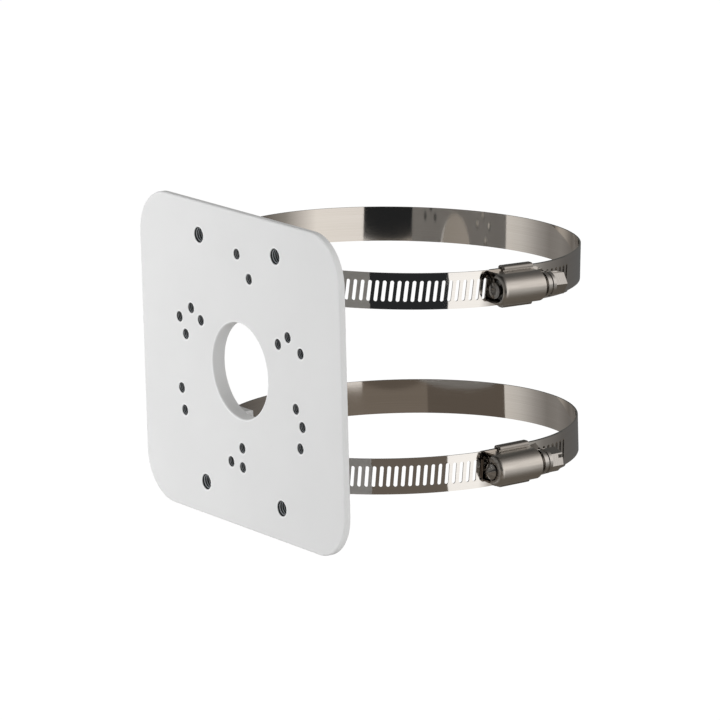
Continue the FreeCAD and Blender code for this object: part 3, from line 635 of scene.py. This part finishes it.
def ring_position(n, side):
    """The place seen from the ring: X out to the screw, Y along the screw and Z along the ring's axis."""
    joint = JOINTS[side]
    along = Vector(joint["axis"]).normalized()
    outward = Vector(joint["pos_m"]) - RING_CENTRES[side]
    outward = (outward - along * outward.dot(along)).normalized()
    turn = Matrix((outward, along, outward.cross(along)))
    mapping = n.add("ShaderNodeMapping", vector_type="POINT")
    mapping.inputs["Rotation"].default_value = turn.to_euler("XYZ")
    mapping.inputs["Location"].default_value = -(turn @ RING_CENTRES[side])
    n.join(n.object_position(), mapping.inputs["Vector"])
    return mapping.outputs[0]


def band_steel(side, grain):
    """Bright rolled strip: mirror-like, with fine lines round the ring, and painted shade on its inside."""
    material, n, shader = new_material(side + "_band_steel")
    parts = n.split(ring_position(n, side))
    angle = n.math("ARCTAN2", parts.outputs["Y"], parts.outputs["X"])
    unrolled = n.vector(X=n.math("MULTIPLY", angle, BAND_RADIUS), Z=parts.outputs["Z"])
    marks = use_group(n, grain, Position=unrolled, **BAND_LINES)
    outside = two_tones(n, marks.outputs["Lines"], GRAIN_SPAN, BAND_OUTSIDE_TONES)
    # painted shade: the band's inside is a darker, warmer copy of its outside steel
    inside = two_tones(n, marks.outputs["Lines"], GRAIN_SPAN, BAND_SHADED_INSIDE_TONES)
    reach = n.add("ShaderNodeVectorMath", operation="LENGTH")
    n.join(n.vector(X=parts.outputs["X"], Y=parts.outputs["Y"]), reach.inputs[0])
    outer = n.span(reach.outputs["Value"], BAND_RADIUS - BAND_BLEND, BAND_RADIUS + BAND_BLEND)
    n.join(n.mix(outer, inside, outside), shader.inputs["Base Color"])
    shader.inputs["Metallic"].default_value = 1.0
    n.join(n.span(marks.outputs["Blotches"], *NOISE_SPAN, *BAND_ROUGHNESS), shader.inputs["Roughness"])
    bump(n, shader, marks.outputs["Lines"], *BAND_BUMP)
    return material


def pressed_steel(name, side, grain, tones):
    """Satin pressed sheet, for the housing and the saddle: softer than the band, lines along the screw."""
    material, n, shader = new_material(side + name)
    parts = n.split(ring_position(n, side))
    along_screw = n.vector(X=parts.outputs["Y"], Y=parts.outputs["X"], Z=parts.outputs["Z"])
    marks = use_group(n, grain, Position=along_screw, **PRESSED_LINES)
    n.join(two_tones(n, marks.outputs["Lines"], GRAIN_SPAN, tones), shader.inputs["Base Color"])
    shader.inputs["Metallic"].default_value = 1.0
    n.join(n.span(marks.outputs["Blotches"], *NOISE_SPAN, *PRESSED_ROUGHNESS), shader.inputs["Roughness"])
    bump(n, shader, marks.outputs["Lines"], *PRESSED_BUMP)
    return material


def turned_steel(side, rings):
    """Turned stainless steel, for the screws."""
    material, n, shader = new_material(side + "_turned_steel")
    marks = use_group(n, rings, Position=ring_position(n, side), Rings=SCREW_RINGS)
    n.join(two_tones(n, marks.outputs["Rings"], NOISE_SPAN, SCREW_TONES), shader.inputs["Base Color"])
    shader.inputs["Metallic"].default_value = 1.0
    n.join(n.span(marks.outputs["Rings"], *NOISE_SPAN, *SCREW_ROUGHNESS), shader.inputs["Roughness"])
    bump(n, shader, marks.outputs["Rings"], *SCREW_BUMP)
    return material


def thread_metal(name, tones):
    """The cut threads inside a hole, of dark steel, with painted shade at the root and a painted highlight
    along the crest.
    """
    material, n, shader = new_material(name)
    height = n.add("ShaderNodeAttribute", attribute_name="ridge_height").outputs["Fac"]
    speckle = n.noise(n.object_position(), THREAD_SPECKLE_SCALE)
    unevenness = n.span(speckle, *NOISE_SPAN, -THREAD_UNEVENNESS, THREAD_UNEVENNESS)
    uneven = n.math("ADD", height, unevenness)
    # painted shade in the thread's root and a painted highlight on its crest, by the ridge height
    n.join(two_tones(n, uneven, THREAD_SHADE_HIGHLIGHT_HEIGHTS, tones), shader.inputs["Base Color"])
    shader.inputs["Metallic"].default_value = THREAD_METALLIC
    shader.inputs["Roughness"].default_value = THREAD_ROUGHNESS
    return material


# Putting the object together

def dress_node(node, material):
    """Give a carried-over CAD node its finish, on the object's own material slots."""
    for place in frame["nodes"][node].material_slots:
        place.link = "OBJECT"
        place.material = material


bpy.context.scene.view_settings.view_transform = "Standard"

make_camera()
studio_world()
make_floor()
make_cards()
for lamp in LAMPS:
    area_light(*lamp)

small_holes, large_holes = hole_places()
dress_node("mounting_plate", powder_coat(small_holes, large_holes))
grain = drawn_grain_group()
rings = turned_rings_group()
for side in ("upper", "lower"):
    screw_metal = turned_steel(side, rings)
    dress_node(side + "_band", band_steel(side, grain))
    # the saddle's darker tones are painted shade on the same steel as the housing
    dress_node(side + "_saddle", pressed_steel("_saddle_shaded_steel", side, grain, SADDLE_SHADED_TONES))
    dress_node(side + "_housing", pressed_steel("_housing_steel", side, grain, HOUSING_TONES))
    dress_node(side + "_worm_screw", screw_metal)
    joined_piece(side + "_worm_thread", [worm_thread(JOINTS[side])], screw_metal,
                 side + "_screw")

small_threads = [thread_lining(x, z, SMALL_HOLE / 2, SMALL_PITCH, hole_back(x, z)) for x, z in small_holes]
joined_piece("small_hole_threads", small_threads, thread_metal("small_thread_shade_and_highlight", SMALL_THREAD_SHADE_HIGHLIGHT_TONES),
             "bracket")
large_threads = [thread_lining(x, z, LARGE_HOLE / 2, LARGE_PITCH, LARGE_HOLE_DEPTH) for x, z in large_holes]
joined_piece("large_hole_threads", large_threads, thread_metal("large_thread_shade_and_highlight", LARGE_THREAD_SHADE_HIGHLIGHT_TONES),
             "bracket")
